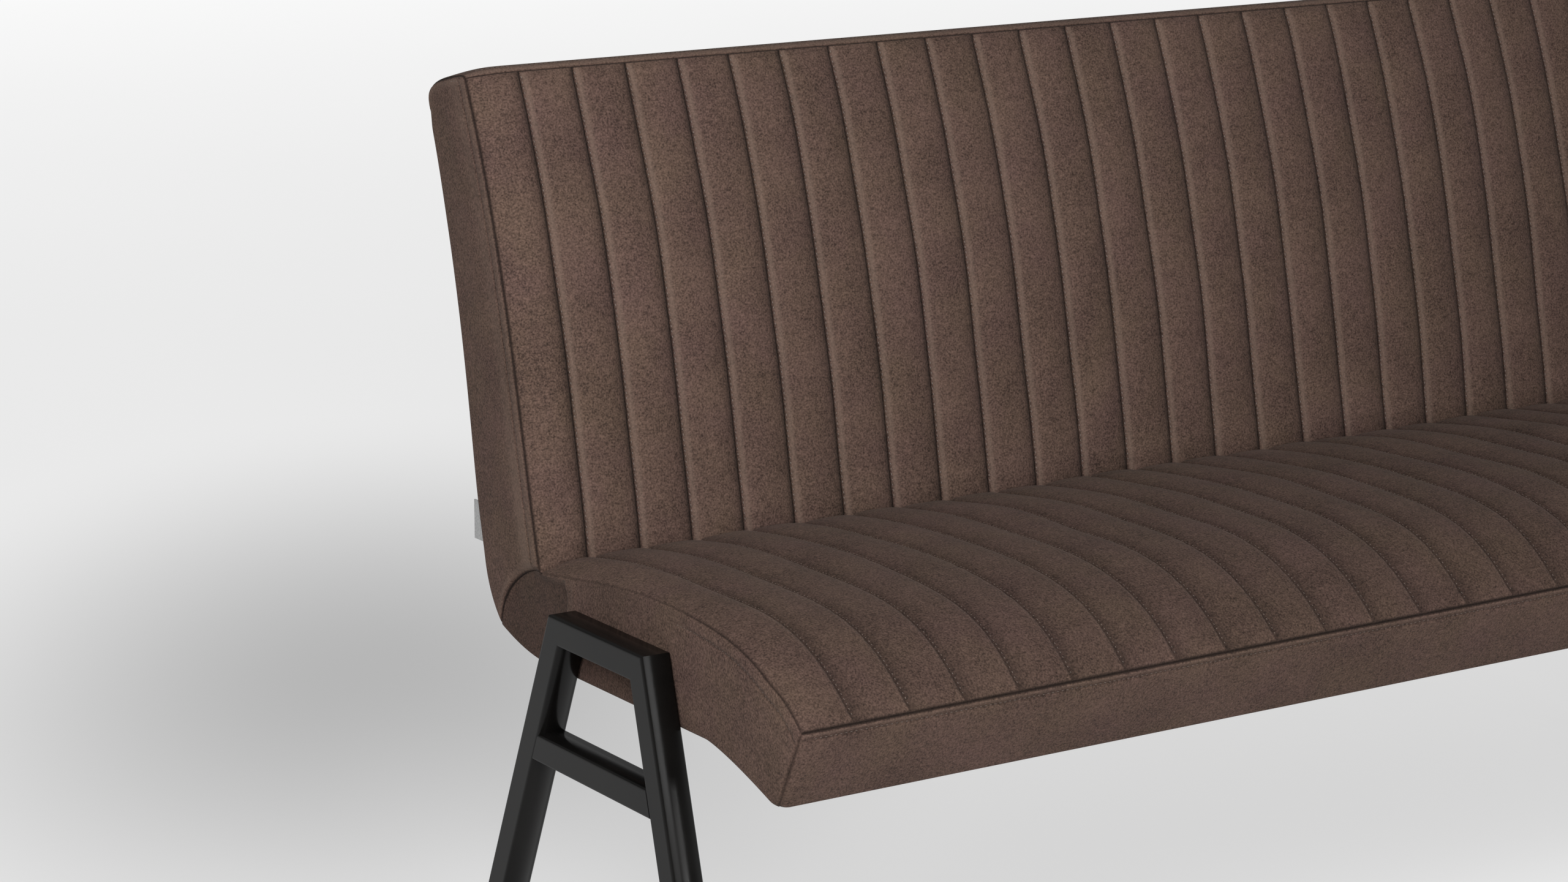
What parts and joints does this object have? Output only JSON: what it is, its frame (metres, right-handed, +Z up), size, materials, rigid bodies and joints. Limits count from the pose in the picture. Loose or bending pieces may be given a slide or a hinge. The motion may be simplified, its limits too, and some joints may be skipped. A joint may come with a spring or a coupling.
{
  "type": "dining sofa",
  "caption": "Upholstered dining sofa with stitched vertical channels on seat and curved back, on tubular steel A-shaped side frames.",
  "frame": {"origin": "on the floor, at the middle of the sofa's length and depth", "axes": "+X along the sofa to its right end seen from the front, the front faces -Y, +Z up"},
  "size_m": [1.566, 0.6429, 0.9021],
  "materials": {
    "cover": "matt brushed microfibre, dark brown",
    "bottom_cloth": "black woven underside cloth",
    "tab": "plain grey woven tape",
    "plywood": "raw beech plywood",
    "black_steel": "black satin powder coat",
    "zinc_steel": "zinc plated",
    "black_plastic": "black moulded plastic"
  },
  "bodies": {
    "root": {"seat_cushion": "cover", "back_cushion": "cover", "seat_front_pad": "cover", "back_top_pad": "cover", "back_rear_panel": "cover", "seat_end_pad_left": "cover", "seat_end_pad_right": "cover", "back_end_pad_left": "cover", "back_end_pad_right": "cover", "bottom_cover": "bottom_cloth", "sewn_tab": "tab", "seat_deck": "plywood", "back_board": "plywood", "side_rib_left": "plywood", "side_rib_right": "plywood", "inner_rib_1": "plywood", "inner_rib_2": "plywood", "inner_rib_3": "plywood", "inner_rib_4": "plywood", "front_rail": "plywood", "rear_rail": "plywood", "top_rail": "plywood", "steel_rail_front": "black_steel", "steel_rail_rear": "black_steel", "end_plate_left": "black_steel", "end_plate_right": "black_steel", "left_top_bar": "black_steel", "left_cross_bar": "black_steel", "left_front_leg": "black_steel", "left_rear_leg": "black_steel", "right_top_bar": "black_steel", "right_cross_bar": "black_steel", "right_front_leg": "black_steel", "right_rear_leg": "black_steel", "frame_bolts": "zinc_steel", "bolt_washers": "zinc_steel", "rivet_nuts": "zinc_steel", "spacers": "black_plastic", "glide_left_front": "black_plastic", "glide_left_rear": "black_plastic", "glide_right_front": "black_plastic", "glide_right_rear": "black_plastic"}
  },
  "joints": []
}
